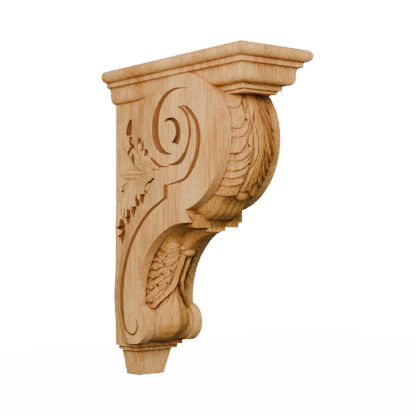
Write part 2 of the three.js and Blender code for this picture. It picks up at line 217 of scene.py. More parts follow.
# %% Outlines of the cheeks and the core
def cheek_outline():
    top_depth = SCROLL["depth"] + SCROLL["radius"] - SCROLL["top_radius"]
    collar_turn = math.degrees(math.asin((COLLAR["top"] - SCROLL["z"]) / SCROLL["radius"]))
    roll_turn = math.degrees(math.acos((HOLLOW["back"] - ROLL["depth"]) / ROLL["radius"]))
    line = [(0, BASE_TOP - 7), (0, BODY_TOP)]
    line += arc((top_depth, SCROLL["z"]), SCROLL["top_radius"], 90, 0, 30)
    line += arc((SCROLL["depth"], SCROLL["z"]), SCROLL["radius"], 0, collar_turn, 30)[1:]
    ends = [Vector((x, z)) for x, z in [(COLLAR["depth"], COLLAR["bottom"]), (97, COLLAR["bottom"]),
                                       (HOLLOW["back"], 138), (HOLLOW["back"], 88)]]
    line += [tuple(p[:2]) for p in interpolate_bezier(*ends, 36)]
    line += arc((ROLL["depth"], ROLL["z"]), ROLL["radius"], roll_turn, -90, 22)
    return line


def core_outline():
    line = [(0, BASE_TOP - 7), (0, BODY_TOP)]
    line += arc((SCROLL["depth"], SCROLL["z"]), RECESS_RADIUS, 75, -76, 40)
    line += [(COLLAR["depth"], COLLAR["top"]), (COLLAR["depth"], HOLLOW["z"] + HOLLOW["floor_radius"] - 1)]
    line += arc((HOLLOW["depth"], HOLLOW["z"]), HOLLOW["floor_radius"], 86, 184, 40)
    line += arc((ROLL["depth"], ROLL["z"]), ROLL["waist"], 92, -90, 24)
    return line


def cheek():
    bm = plank(cheek_outline(), RECESS_HALF - 1, CHEEK_HALF)
    for side, low, high, width, segments in [(CHEEK_HALF, COLLAR["top"] + 0.5, BODY_TOP - 2, SCROLL_ARRIS, 5),
                                             (CHEEK_HALF, 0, COLLAR["bottom"] - 0.5, HOLLOW_ARRIS, 2),
                                             (RECESS_HALF - 1, COLLAR["top"] + 0.5, BODY_TOP - 2, 0.8, 2),
                                             (RECESS_HALF - 1, 0, COLLAR["bottom"] - 0.5, 0.8, 2)]:
        rim = [e for e in bm.edges
               if all(abs(v.co.x - side) < 0.01 and v.co.y < -20 and low < v.co.z < high for v in e.verts)]
        soften(bm, rim, width, segments)
    return bm


body = form(plank(core_outline(), -RECESS_HALF, RECESS_HALF), "carved_corbel")
right_cheek = form(cheek(), "cheek")
carve(body, [mirrored(right_cheek), right_cheek], "UNION")
print("cheeks and core:", len(body.data.polygons), "faces")

# %% [markdown]
# ## The sunk sides
#
# Behind the scroll the side isn't flat. It was planed down towards the wall, about 9 mm in all, and it rises in a
# soft slope to the scroll's band. A height for every (depth, z) describes such a slope best, so it is a function,
# and the wood above it is cut away with a slab whose face follows it. All that lies on the side uses it too.

# %% The slope of the side
side_at_wall = through([(30, 34), (60, 34.4), (92, 36.2), (125, 34), (160, 33.2), (200, 32.4), (320, 31.4)])
ramp_end = through([(38, 40), (52, 32), (62, 24), (80, 20), (100, 20.5), (128, 27), (152, 40), (174, 58),
                    (190, 79), (200, 99), (216, 105), (232, 97), (258, 91), (282, 85), (300, 90), (313, 102),
                    (336, 124)])


def side_face(depth, z):
    """How far the left side stands from the middle."""
    return mix(side_at_wall(z), CHEEK_HALF, ease(depth, 0.3 * ramp_end(z), ramp_end(z)))


def side_clearance(u, v, top):
    depth, z = 64 * (u + 1) - 2, 151 * (v + 1) + 36
    clear = ease(depth, 0.96 * ramp_end(z), 1.04 * ramp_end(z))
    return (-(side_face(depth, z) + 0.6 * clear) if top else -60, -depth, z)


left = form(sheet(52, 104, side_clearance), "side_clearance")
carve(body, [mirrored(left), left], "DIFFERENCE")
print("sides sunk:", len(body.data.polygons), "faces")

# %% [markdown]
# ## The cap
#
# The cap's edge was run with one moulding cutter: a bullnose, a fillet, a hollow face and two small fillets. It turns
# the front corners on a mitre. Two planks with the same edge, one drawn from side to side and one from back to
# front, share exactly that shape, so their intersection is the cap.

# %% The moulded cap
def cap_edge(reach):
    edge = [(reach - 7.25 + 7.25 * math.cos(t), 348.75 + 7.25 * math.sin(t))
            for t in np.linspace(math.pi / 2, -math.pi / 2, 13)]
    edge += [(reach - 7.7, 341.5), (reach - 7.7, 336.4)]
    for start, first, second, end in [((11.2, 335.4), (13.2, 334), (13.4, 331), (13.4, 326)),
                                      ((13.4, 326), (13.5, 321), (15.5, 317.4), (19.8, 317.2))]:
        points = interpolate_bezier(*[Vector((reach - x, z)) for x, z in (start, first, second, end)], 9)
        edge += [tuple(p[:2]) for p in points][0 if start[1] > 330 else 1:]
    return edge + [(reach - 23.9, 317.2), (reach - 23.9, 311.7), (reach - 27.6, 311.7), (reach - 27.6, 308.4)]


def cap():
    across = plank(cap_edge(CAP_DEPTH) + [(0, 308.4), (0, HEIGHT)], -CAP_HALF - 1, CAP_HALF + 1)
    side = cap_edge(CAP_HALF)
    lengthwise = plank([(-x, z) for x, z in reversed(side)] + side, -CAP_DEPTH - 1, 1)
    bmesh.ops.rotate(lengthwise, cent=(0, 0, 0), matrix=Matrix.Rotation(math.pi / 2, 3, "Z"),
                     verts=lengthwise.verts[:])
    moulding = form(across, "cap")
    carve(moulding, [form(lengthwise, "cap_lengthwise")], "INTERSECT")
    bm = bmesh.new()
    bm.from_mesh(moulding.data)
    bmesh.ops.remove_doubles(bm, verts=bm.verts[:], dist=0.001)
    bmesh.ops.dissolve_limit(bm, angle_limit=math.radians(1), verts=bm.verts[:], edges=bm.edges[:])
    sharp = [e for e in bm.edges if len(e.link_faces) == 2 and e.calc_face_angle() > math.radians(40)]
    soften(bm, [e for e in sharp if all(v.co.y < -0.1 for v in e.verts)], 0.35, 2)
    bpy.data.objects.remove(moulding)
    return form(bm, "cap")


carve(body, [cap()], "UNION")
print("cap joined:", len(body.data.polygons), "faces")

# %% [markdown]
# ## The collar, the base and the foot
#
# The collar is a straight band with a block in its middle and a shallow flute on each side of it. Below the roll
# come a base block, a thin step and a foot that tapers. They are plain blocks with their edges just taken off, as
# sandpaper does.

# %% Collar, base and foot
collar_block = block(COLLAR_BLOCK["half"], 120, COLLAR_BLOCK["depth"], COLLAR_BLOCK["bottom"], COLLAR["top"] + 4)
carve(body, [form(collar_block, "collar_block")], "UNION")
for side in (-1, 1):
    flute = block((COLLAR_FLUTE["outer"] - COLLAR_FLUTE["inner"]) / 2, COLLAR_FLUTE["floor"],
                  COLLAR["depth"] + 20, COLLAR["top"] - 24, COLLAR["top"], 0)
    bmesh.ops.translate(flute, vec=(side * (COLLAR_FLUTE["outer"] + COLLAR_FLUTE["inner"]) / 2, 0, 0),
                        verts=flute.verts[:])
    carve(body, [form(flute, "collar_flute")], "DIFFERENCE")

foot = block(25.5, 0, 31.3, 0, 31, 0)
for vert in foot.verts:
    if vert.co.z < 1:
        vert.co.x *= 18.4 / 25.5
        vert.co.y *= 24.5 / 31.3
soften(foot, foot.edges[:], 0.5, 2)
carve(body, [form(block(34.1, 0, 41.3, 34.9, BASE_TOP), "base_block"),
             form(block(29.9, 0, 36.2, 30, 36), "base_step"), form(foot, "foot")], "UNION")
print("collar and foot joined:", len(body.data.polygons), "faces")

# %% [markdown]
# ## Leaf lobes on the sides
#
# A spray of leaves springs from the scroll's band and spreads over the sunk wood. It is low relief: each lobe is a
# blade that swells from its root, is crowned across, has a vein pressed along its middle and ends in a round tip.
# One function lays a grid along a curve, and thirteen sets of numbers give the spray.

# %% The spray of lobes
def side_lobe(start, bend, tip, half_width, raised):
    def blade(u, v, top):
        share = (u + 1) / 2
        place = Vector(start).lerp(Vector(bend), share).lerp(Vector(bend).lerp(Vector(tip), share), share)
        slope = (Vector(bend) - Vector(start)).lerp(Vector(tip) - Vector(bend), share).normalized()
        swell = math.sqrt(max(0.01, math.sin(math.pi * (0.12 + 0.88 * share**2))))
        depth, z = place + v * half_width * swell * Vector((-slope.y, slope.x))
        crown = raised * (0.3 + 0.7 * swell) * (1 - 0.55 * abs(v)**3)
        vein = 1.2 * ease(share, 0.1, 0.4) * math.exp(-(v / 0.14)**2)
        return (-(side_face(depth, z) + (crown - vein if top else -4)), -depth, z)
    return form(sheet(26, 14, blade), "side_lobe")


SIDE_LOBES = [
    ((84, 233), (52, 236), (16, 277), 7.5, 3.2), ((84, 234), (56, 238), (33, 263), 4.5, 3),
    ((86, 236), (60, 242), (53, 267), 5.5, 3.2), ((88, 238), (72, 242), (63, 258), 4, 3),
    ((98, 236), (84, 238), (74, 251), 4, 2.8), ((88, 230), (50, 231), (10, 234), 5, 2.6),
    ((88, 228), (50, 227), (13, 220), 4.5, 2.8), ((86, 227), (72, 224), (66, 210), 3.5, 3),
    ((80, 227), (60, 223), (53, 200), 4.5, 3.2), ((74, 228), (48, 222), (43, 193), 4.5, 3.2),
    ((66, 229), (40, 222), (34, 185), 4.5, 3.2), ((58, 229), (26, 220), (23, 175), 5, 3.2),
    ((46, 228), (9, 214), (6, 156), 6.5, 4.8),
]
lobes = [side_lobe(*sizes) for sizes in SIDE_LOBES]
carve(body, [mirrored(lobe) for lobe in lobes] + lobes, "UNION")
print("side leaves:", len(body.data.polygons), "faces")

# %% [markdown]
# ## Grooves
#
# The scroll's spiral is drawn with V grooves. A V tool runs deeper where the groove is wider, so one width along the
# line also gives the depth. Each groove is a strip laid along a smooth line, with a closed wedge below it. The same
# function draws the thin veins over the side leaves, which keep the colour of the wood round them.

# %% V grooves in the cheeks
def groove(points, sharpness, name, lift=0, side=CUT_PAINTED_SHADE):
    def wedge(u, v, top):
        place, slope = along(points, (v + 1) / 2 * 0.9999)
        half = max(0.25, place.z / 2)
        deep = max(0.4, sharpness * half)
        offset = u * half * (1 + 1.5 / deep)
        depth, z = place.x - slope.y * offset, place.y + slope.x * offset
        level = lift - deep + (deep + 1.5) * max(0, abs(u) - 0.06) / 0.94
        return (-(side_face(place.x, place.y) + (level if not top else lift + 1.6)), -depth, z)
    return form(sheet(6, 7 * len(points), wedge), name, side)


OUTER_GROOVE = [(152, 318.6, 0.5), (140, 320.2, 1), (125, 320.2, 2.8), (110.6, 315.5, 5), (98, 303.8, 8.5),
                (91.6, 289, 10.6), (91.2, 273, 11), (97.5, 259.5, 8.5), (109, 252, 4), (121, 250, 0.5)]
INNER_GROOVE = [(131, 301.2, 0.5), (139.5, 297.6, 3), (148.6, 288.2, 3.6), (152.5, 272.5, 4), (147.8, 255.6, 4),
                (139, 244, 6.2), (128, 239, 4.2), (114, 238.8, 0.5)]
MIDDLE_GROOVE = [(138, 301.8, 0.5), (149.5, 296.2, 4), (162, 283, 5.6), (166.8, 268, 7.2), (164.6, 250, 7),
                 (155.8, 234, 6), (143, 222, 3.6), (126, 218.4, 2), (112, 216.8, 1)]
LONG_GROOVE = [(109, 203.5, 3), (98, 198, 3.4), (79, 188.6, 4), (56.6, 170.2, 4.8), (39.8, 148.4, 5.6),
               (28.6, 123.4, 6.6), (23.6, 98, 7.4), (23.8, 78, 7), (28.4, 59.6, 4.4), (37, 51.2, 2.4),
               (48, 50.6, 2.8), (54, 60, 3), (50, 68.6, 0.8)]
NOTCH = [(108.6, 217.2, 7), (108.6, 209, 7.4), (108.6, 201, 7)]
STEM_GROOVE = [(81, 249.5, 0.5), (90, 243.5, 3), (100, 238, 2), (116, 236.3, 0.5)]
grooves = [groove(*sizes) for sizes in [
    (OUTER_GROOVE, 0.8, "outer_groove"), (INNER_GROOVE, 1.1, "inner_groove"), (MIDDLE_GROOVE, 0.95, "middle_groove"),
    (LONG_GROOVE, 0.95, "long_groove"), (NOTCH, 0.9, "notch"), (STEM_GROOVE, 1.1, "stem_groove")]]
VEINS = [
    [(118, 232.6, 0.4), (98, 233.4, 1.2), (86.7, 234.7, 1.6), (76.2, 239.5, 1.8), (65.7, 246.8, 1.6), (63, 251, 0.4)],
    [(72, 229.6, 0.4), (65.7, 231, 1.4), (59.4, 237.4, 1.7), (55.2, 243.7, 1.5), (51, 249, 0.4)],
    [(92, 226.4, 0.4), (80, 227, 1.6), (65.7, 228.2, 1.8), (51, 230.5, 1.8), (38.3, 237.4, 1.6), (33, 243, 0.4)],
    [(56, 228.4, 0.4), (44, 227.4, 1.4), (32, 225.8, 1.6), (18, 223, 0.4)],
    [(66, 225.5, 0.4), (60, 222.5, 1.5), (55.2, 218.4, 1.6), (51.5, 210, 0.4)],
    [(50, 224, 0.4), (41, 219.5, 1.5), (35.5, 212, 1.6), (31.5, 200, 0.4)],
    [(32, 221, 0.4), (23, 212, 1.5), (18.3, 201.6, 1.6), (15.7, 190, 1.4), (16.5, 182, 0.4)],
]
veins = [groove(line, 0.9, "vein", 2.4, WHOLE) for line in VEINS]
carve(body, [mirrored(cut) for cut in grooves + veins] + grooves + veins, "DIFFERENCE")
print("grooves cut:", len(body.data.polygons), "faces")

# %% [markdown]
# ## Pockets and the scroll's eye
#
# Between the lobes the carver chopped small dark pockets. Their dark is the cut finish, which is part end grain and
# part painted shade. Each one is a flat outline sunk 3.5 mm, a little narrower at its floor. The crescent beside the
# eye is cut the same way, 4.5 mm deep and between two arcs.

# %% Pockets between the lobes
def pocket(corners, deep=3.5, spread=1.15):
    """A flat outline sunk into the side, spread a little at the surface and narrower at the floor."""
    middle = [(min(p[k] for p in corners) + max(p[k] for p in corners)) / 2 for k in (0, 1)]
    floor = -(side_face(*middle) - deep)
    bm = plank(corners, floor, -CHEEK_HALF - 4)
    for vert in bm.verts:
        size = spread * (0.86 if abs(vert.co.x - floor) < 0.01 else 1)
        vert.co.y = mix(-middle[0], vert.co.y, size)
        vert.co.z = mix(middle[1], vert.co.z, size)
    return form(bm, "pocket", CUT_PAINTED_SHADE)


POCKETS = [
    [(20.9, 281.6), (22.5, 287), (25.2, 293.2), (28.3, 296.8), (33.1, 297.4), (34.1, 287), (32.5, 279.5), (24, 278.4)],
    [(28, 277), (34.6, 276.8), (32.2, 270), (38.3, 266.8), (39.9, 263.7), (34, 260.5), (33, 257.4), (28.8, 255.3),
     (26.7, 252.6), (29, 261), (35, 264.5), (29, 270.5)],
    [(36.7, 255.8), (40.9, 255.8), (43.6, 250), (44.4, 240.5), (40.9, 242.6), (38.5, 247)],
    [(49.9, 274.2), (54.1, 273.7), (58.3, 270), (55.2, 267.9), (49.6, 265.8), (48.8, 269)],
    [(60.4, 267.9), (63.6, 267.9), (64.6, 263.7), (62.5, 259.5), (60.4, 256.8)],
    [(65.7, 260), (73.1, 258.4), (76.2, 254.7), (73.1, 254.2), (72, 251.6), (70.4, 251.6), (68, 256.3)],
    [(64.6, 210), (69.9, 209), (69.9, 215.3), (73.1, 218.4), (80.4, 221.6), (87.3, 224.2), (86.7, 225.5),
     (80.4, 223), (72, 220), (67.8, 216.3)],
    [(55.2, 209), (64.6, 209), (62.5, 204.7), (60.4, 198.4), (57.3, 198.4), (55.2, 201.6)],
    [(46.7, 210.5), (49.4, 206.8), (49.9, 202.6), (52, 196.3), (46.7, 195.8), (44.1, 197.4), (44.6, 203.7)],
    [(36.2, 197.4), (39.4, 195.8), (45.2, 195.8), (43.6, 190), (40.9, 183.7), (38.3, 184.2), (36.2, 190)],
    [(26.2, 198.4), (28.5, 194), (31.5, 190), (33.1, 185.3), (30.9, 183.7), (31.5, 179.5), (29.9, 175.3),
     (26.7, 176.3), (22, 184.7), (25.7, 184.6), (26.2, 188)],
    [(14.6, 182.6), (17.3, 179.5), (21.5, 172.1), (19.6, 170.6), (21.5, 167.9), (18.3, 158.4), (14.6, 152.1),
     (8.8, 162.6), (13, 165.8), (14, 168.9), (8.3, 171.6), (12.4, 174)],
    [(9.4, 213.7), (17.3, 217.4), (19.9, 216.8), (21.5, 213.7)],
]
crescent = arc((115, 274.4), 13, 112, -70, 24) + [(132.5, 258.8)]
for first, *rest in [((132.5, 258.8), (141, 272), (137, 290), (118, 290.9)),
                     ((118, 290.9), (113, 291), (109, 289.4), (106.3, 286))]:
    crescent += [tuple(p[:2]) for p in interpolate_bezier(*[Vector(p) for p in (first, *rest)], 12)][1:]
cuts = [pocket(corners) for corners in POCKETS] + [pocket(crescent, 4.5, 1.04)]
carve(body, [mirrored(cut) for cut in cuts] + cuts, "DIFFERENCE")
print("pockets cut:", len(body.data.polygons), "faces")

# %% [markdown]
# ## The upper leaf
#
# The big leaf bulges out between the cheeks, round the scroll's centre. Its leaflets overlap like shingles: each
# lower edge stands proud, casts a shadow and hides the root of the next one. A grid whose rows follow those edges
# gives a crisp step with few faces, because the step lies between two rows. The numbers below are the edges as
# (x, z) lines, from the cheek inward and up to the stem.

# %% A leaf whose rows follow its edges
SHINGLE = [(0, 0), (0.02, 0.8), (0.1, 1), (0.3, 0.72), (0.5, 0.44), (0.7, 0.24), (0.86, 0.1), (0.98, 0)]
LEAF_SLAB, CUSHION_SLAB = 14, 16


def leaf(edges, place, raised, stem, shape, columns):
    """Rows of leaflets from the last edge up to the first; place(x, z, proud) puts a point on the wood."""
    across = [np.array(sorted(line)).T for line in edges]

    def edge_height(k, x):
        at, heights = across[k]
        return min(np.interp(x, *across[0]), np.interp(x, at, heights) + 2.5 * max(0, at[0] - x))

    rows = [(k, share, lift) for k in range(len(edges) - 1, 0, -1) for share, lift in shape] + [(1, 1, 0)]

    def surface(u, v, top_side):
        x = RECESS_HALF * u
        k, share, lift = rows[round((v + 1) / 2 * (len(rows) - 1))]
        low, high = edge_height(k, abs(x)), edge_height(k - 1, abs(x))
        z = mix(low, max(low, high), share)
        room = min(1, max(0, high - low) / 9)
        blade = raised[k - 1] * lift * room * ease(abs(x), 5, 14)
        cup = 0.28 * room * math.cos(math.tau * (abs(x) + 5 * share) / 5.2) * math.sin(math.pi * min(1, 0.2 + share))
        cup += 0.5 * room * math.sin(math.pi * share) * ease(abs(x), 8, 16)
        rib = stem * (1 - ease(abs(x), 4.2, 7.4)) - 1.0 * math.exp(-((abs(x) - 7.4) / 1.1)**2)
        return place(x, z, blade - cup + rib if top_side else -LEAF_SLAB)
    return sheet(columns, len(rows) - 1, surface)


def gouge(place, start, end, width, deep, proud=2.5):
    """A small lens-shaped cut on a leaf, from start to end, each an (x, z)."""
    line = Vector(end) - Vector(start)
    aside = Vector((-line.y, line.x)).normalized()

    def wedge(u, v, top):
        share = (v + 1) / 2
        narrow = math.sin(math.pi * mix(0.03, 0.97, share))**0.6
        x, z = Vector(start) + share * line + u * width / 2 * narrow * aside
        return place(x, z, proud + 3 if top else proud - deep * narrow * (1 - abs(u)**2) - 0.2)
    return form(sheet(4, 8, wedge), "gouge", CUT_PAINTED_SHADE)


def scored(place, points, deep):
    """A thin steep groove on a leaf, along (x, z, width) points."""
    def wedge(u, v, top):
        spot, slope = along(points, (v + 1) / 2 * 0.9999)
        half = max(0.2, spot.z / 2)
        x, z = spot.x - slope.y * u * half, spot.y + slope.x * u * half
        return place(x, z, 7 if top else 0.6 - deep * min(1, spot.z) * (1 - abs(u)))
    return form(sheet(4, 6 * len(points), wedge), "scored_line", CUT_PAINTED_SHADE)


# %% [markdown]
# The leaf's swell is measured from the scroll's centre: so far out at each turn in the middle, and less towards the
# cheeks. Places on it are given by turn, or by height, for which the turn is found in a few rounds.

# %% Places on the upper leaf
upper_crown = through([(-81, 90.2), (-74, 92.7), (-66, 92), (-56, 86.5), (-50, 86.5), (-43, 88.5), (-27, 89),
                       (-12, 91), (2, 89), (14, 86), (34, 85.5)])


def upper_radius(x, turn):
    crown = 1 - min(1, abs(x) / RECESS_HALF)**4
    edge = 73 + 5 * ease(-math.degrees(turn), 50, 72)
    return mix(edge, upper_crown(math.degrees(turn)), crown)


def on_upper(x, turn, proud):
    radius = upper_radius(x, turn) + proud
    return (x, -(SCROLL["depth"] + radius * math.cos(turn)), SCROLL["z"] + radius * math.sin(turn))


def on_upper_at(x, z, proud):
    turn = 0
    for _ in range(6):
        turn = math.asin(max(-0.96, min(0.96, (z - SCROLL["z"]) / upper_radius(x, turn))))
    return on_upper(x, turn, proud)


# %% [markdown]
# Ten edges a side make nine rows of leaflets. Below the last one a fluted cushion closes the leaf down to the collar,
# and a rounded tip ends the stem.

# %% The upper leaf, its cushion and its tip
UPPER_EDGES = [
    [(30, 316), (0, 316)],
    [(30, 295), (25, 292), (21, 292.6), (17, 297), (14, 302), (10, 308)],
    [(30, 273), (25.5, 270), (22, 271.5), (19, 277), (16, 286), (12, 296), (9, 303)],
    [(30, 264), (26, 261.4), (21, 262.4), (17, 267), (13, 277), (9, 290), (7, 300)],
    [(30, 247), (26, 244.2), (23, 246.6), (20.5, 253), (17, 262), (12.5, 272), (7.5, 287)],
    [(30, 240), (25, 237.4), (20, 238.6), (15.5, 242.4), (12, 248), (9, 256), (6.5, 268)],
    [(30, 231), (25, 227.8), (19.5, 229), (15.5, 232), (12, 237), (8.5, 246), (6, 256)],
    [(30, 223), (24.5, 220.2), (18.5, 221.4), (14.5, 224), (11, 228), (8, 235), (6, 244)],
    [(30, 215), (23, 212.4), (16.5, 213.6), (12, 216), (8.5, 220.5), (5.5, 229)],
    [(30, 206), (20, 203), (12, 203.5), (8, 205), (5, 208), (0, 209)],
]
cushion = sheet(40, 24, lambda u, v, top: on_upper(
    RECESS_HALF * u, math.radians(mix(-81, -38, (v + 1) / 2)),
    0.35 * math.cos(7 * math.pi * u) - 0.6 if top
    else -CUSHION_SLAB))
leaf_blade = leaf(UPPER_EDGES, on_upper_at, [2.8, 3.6, 2.8, 4.8, 3, 3.4, 3, 3.1, 3.1], 3, SHINGLE, 80)
tip = bmesh.new()
bmesh.ops.create_uvsphere(tip, u_segments=28, v_segments=18, radius=1)
bmesh.ops.scale(tip, vec=(9.4, 5, 8.4), verts=tip.verts[:])
bmesh.ops.translate(tip, vec=on_upper(0, math.radians(-45), -2.6), verts=tip.verts[:])
carve(body, [form(cushion, "cushion", CARVED_PAINTED_SHADE), form(leaf_blade, "upper_leaf", CARVED_PAINTED_SHADE),
             form(tip, "upper_leaf_tip", CARVED_PAINTED_SHADE)], "UNION")

# %% [markdown]
# Last come the fine cuts: lines scored where leaflets fold over each other, and small eyes at their roots, which are
# single pushes of a gouge.

# %% Scored lines and eyes
UPPER_LINES = [
    [(12.6, 308, 0.4), (13.4, 302, 1.5), (14.8, 295, 1.7), (16.6, 286, 0.4)],
    [(3.4, 291, 0.4), (4.2, 286.8, 1.5), (5.2, 282, 1.4), (6, 276, 0.4)],
    [(9.6, 279, 0.4), (11.2, 272, 0.9), (13.6, 266, 1), (17, 260.4, 0.9), (18.6, 257, 0.4)],
    [(5.8, 275, 0.4), (4.8, 266.5, 1), (3.8, 258, 1.3), (3.6, 249, 1.3), (4, 241, 1.7), (5, 235, 1), (6.4, 230, 0.4)],
    [(7.4, 252, 0.4), (10, 245, 1.1), (13, 239, 1), (16, 235.4, 0.4)],
    [(5.6, 232, 0.4), (8, 226, 1), (11, 221.6, 1), (14, 219, 0.4)],
    [(2, 226, 0.4), (2.6, 219, 1), (4, 212, 1.6), (4.6, 207, 0.4)],
]
UPPER_EYES = [
    ((15, 281.6), (14.2, 278.4), 2.8, 7), ((15, 254.4), (14.2, 251), 2.8, 7), ((11.4, 236), (10.6, 233), 2.8, 7),
    ((10.4, 216.6), (9.4, 213.8), 2.6, 7), ((30.5, 244.4), (24, 246.4), 2, 6), ((30.5, 237.2), (27, 236.6), 1.6, 5),
    ((30.5, 227.6), (26.5, 226.8), 1.6, 5), ((30.5, 220), (26, 219.4), 1.6, 5),
]
cuts = [scored(on_upper_at, line, 2.6) for line in UPPER_LINES]
cuts += [gouge(on_upper_at, *sizes) for sizes in UPPER_EYES]
carve(body, [mirrored(cut) for cut in cuts] + cuts, "DIFFERENCE")
print("upper leaf:", len(body.data.polygons), "faces")

# %% [markdown]
# ## The lower leaf
#
# The lower leaf lies in the hollow, so its places are measured from a centre in front of it. It spreads from a
# narrow neck, ten lobes a side with round knobs at the tips. A rib runs down each side and turns out to a point over
# the roll.

# %% Places on the lower leaf
lower_floor = through([(-12, 89), (40, 89), (56, 83), (70, 81), (101, 80.5)])
lower_crown = through([(-12, 24), (20, 25), (40, 24), (56, 13), (66, 4), (101, 0)])


def lower_radius(x, turn):
    crown = 1 - min(1, abs(x) / RECESS_HALF)**2
    return lower_floor(math.degrees(turn)) - lower_crown(math.degrees(turn)) * crown


def on_lower(x, turn, proud):
    radius = lower_radius(x, turn) - proud
    return (x, -(HOLLOW["depth"] - radius * math.cos(turn)), HOLLOW["z"] + radius * math.sin(turn))


def on_lower_at(x, z, proud):
    turn = 0
    for _ in range(6):
        turn = math.asin(max(-0.9, min(0.97, (z - HOLLOW["z"]) / lower_radius(x, turn))))
    return on_lower(x, turn, proud)


# %% Lobes and knobs
def lower_lobe(root, bend, tip, half_width, raised):
    def blade(u, v, top):
        share = (u + 1) / 2
        place = Vector(root).lerp(Vector(bend), share).lerp(Vector(bend).lerp(Vector(tip), share), share)
        slope = (Vector(bend) - Vector(root)).lerp(Vector(tip) - Vector(bend), share).normalized()
        swell = math.sqrt(max(0.01, math.sin(math.pi * (0.16 + 0.84 * share**1.6))))
        x, z = place + v * half_width * swell * Vector((-slope.y, slope.x))
        crown = raised * (0.5 + 0.5 * swell) * (1 - 0.5 * abs(v)**2.5) + 1.6 * share**2
        veins = 0.55 * math.cos(math.tau * 1.5 * v) * ease(share, 0, 0.3) + 0.9 * math.exp(-(v / 0.14)**2)
        return on_lower_at(x, z, crown - veins if top else -6)
    return form(sheet(16, 12, blade), "lower_leaf_lobe", CARVED_PAINTED_SHADE)


LOWER_LOBES = [
    ((10, 120), (15, 97), (28, 86), 5.6, 6), ((9.5, 132), (13, 111), (28.5, 103), 4.2, 5.8),
    ((9.5, 139), (13, 123), (28.5, 116.5), 3.8, 6), ((9.5, 145), (14, 134), (28, 127), 3.5, 5.8),
    ((10, 149), (15, 142.5), (27.5, 136), 3.1, 5.4), ((10.5, 152), (16, 149), (26, 143.6), 2.9, 5),
    ((11, 155), (15, 154), (23, 150), 2.7, 4.4), ((8, 128), (12, 112), (17, 101), 2.6, 7),
    ((8, 137), (11, 125), (16, 117), 2.3, 7), ((9, 144), (13, 137), (18, 131), 2, 6.6),
]
lower_lobes = [lower_lobe(*sizes) for sizes in LOWER_LOBES]
for x, z, size in [(25, 88.6, 3.2), (25, 104.4, 3), (24.8, 117.4, 2.8), (24.2, 128, 2.6), (23.2, 136.8, 2.4),
                   (21.6, 144, 2.2), (17.4, 102.6, 2), (16.4, 117.6, 1.9), (17.6, 131.4, 1.8)]:
    knob = bmesh.new()
    bmesh.ops.create_uvsphere(knob, u_segments=12, v_segments=8, radius=size)
    bmesh.ops.translate(knob, vec=on_lower_at(x, z, 6), verts=knob.verts[:])
    lower_lobes.append(form(knob, "lobe_knob", CARVED_PAINTED_SHADE))
lower_ground = sheet(24, 40, lambda u, v, top: on_lower(
    RECESS_HALF * u, math.radians(mix(-9, 101, (v + 1) / 2)), 0 if top else -LEAF_SLAB))


# %% [markdown]
# Between the ribs the neck widens into a fluted bulb that sits over the roll. At the top of the hollow a tongue hangs
# from the collar, with a rounded end and a curl on each side of it.

# %% Ribs, bulb and tongue
def rib(u, v, top):
    share = (u + 1) / 2
    z = mix(79, 146, share)
    out = 4.6 + 20 * (1 - ease(z, 74, 116))**1.2
    wide = 3 * math.sin(math.pi * min(1, 0.45 + 1.3 * share) / 2)
    crease = 1.3 * math.exp(-((v - 0.1) / 0.14)**2)
    return on_lower_at(out + wide * v, z, 9.6 - 4.6 * v * v - crease if top else -5)


ribs = form(sheet(40, 10, rib), "rib", CARVED_PAINTED_SHADE)
bulb_front = through([(41, 56), (46, 66), (54, 75), (62, 79), (70, 79), (78, 77.4), (86, 75.4), (94, 74), (105, 73.6),
                      (118, 75.5), (128, 79)])
bulb_half = through([(41, 12), (48, 20), (58, 25), (66, 25), (76, 21.6), (88, 14), (96, 8.6), (105, 5), (128, 3.4)])
bulb_drop = through([(41, 12), (56, 14), (66, 15), (78, 12), (88, 9), (96, 6), (105, 3.6), (128, 2.4)])


def on_bulb(x, z, proud):
    u = x / bulb_half(z)
    flutes = 0.7 * (1 - ease(z, 84, 104)) * ease(z, 42, 52) * math.cos(3 * math.pi * u)
    return (x, -(bulb_front(z) - bulb_drop(z) * abs(u)**2.2 + flutes + proud), z)


def bulb(u, v, top):
    z = mix(41, 128, (v + 1) / 2)
    return on_bulb(bulb_half(z) * u, z, 0) if top else (bulb_half(z) * u, -40, z)


tongue_crown = through([(56, 61.5), (66, 63.5), (76, 66), (90, 70), (98, 73), (102, 77)])
tongue_half = through([(54, 9), (64, 10.5), (76, 13), (88, 16), (101, 20)])


def tongue(u, v, top):
    turn = mix(54, 101, (v + 1) / 2)
    half = tongue_half(turn)
    x = abs(half * u)
    radius = tongue_crown(turn) + 9 * min(1, x / 11.5)**4.5 + 0.45 * max(0, x - 11.5) if top else 94
    return (half * u, -(HOLLOW["depth"] - radius * math.cos(math.radians(turn))),
            HOLLOW["z"] + radius * math.sin(math.radians(turn)))


curls = []
for x, depth, z, sizes in [(0, 97, 143, (8.4, 7, 5.6)), (-9.4, 99, 147.4, (3.4, 4, 3)), (9.4, 99, 147.4, (3.4, 4, 3))]:
    curl = bmesh.new()
    bmesh.ops.create_uvsphere(curl, u_segments=22, v_segments=14, radius=1)
    bmesh.ops.scale(curl, vec=sizes, verts=curl.verts[:])
    bmesh.ops.translate(curl, vec=(x, -depth, z), verts=curl.verts[:])
    curls.append(form(curl, "tongue_curl", CARVED_PAINTED_SHADE))

carve(body, [form(lower_ground, "lower_ground", CARVED_PAINTED_SHADE)] + [mirrored(lobe) for lobe in lower_lobes] + lower_lobes +
      [mirrored(ribs), ribs, form(sheet(28, 20, tongue), "tongue", CARVED_PAINTED_SHADE), *curls,
       form(sheet(40, 44, bulb), "gadrooned_bulb", CARVED_PAINTED_SHADE)], "UNION")

# %% [markdown]
# Between the lobes the carver pushed a gouge in to the ground, and scored two lines a side down the neck.

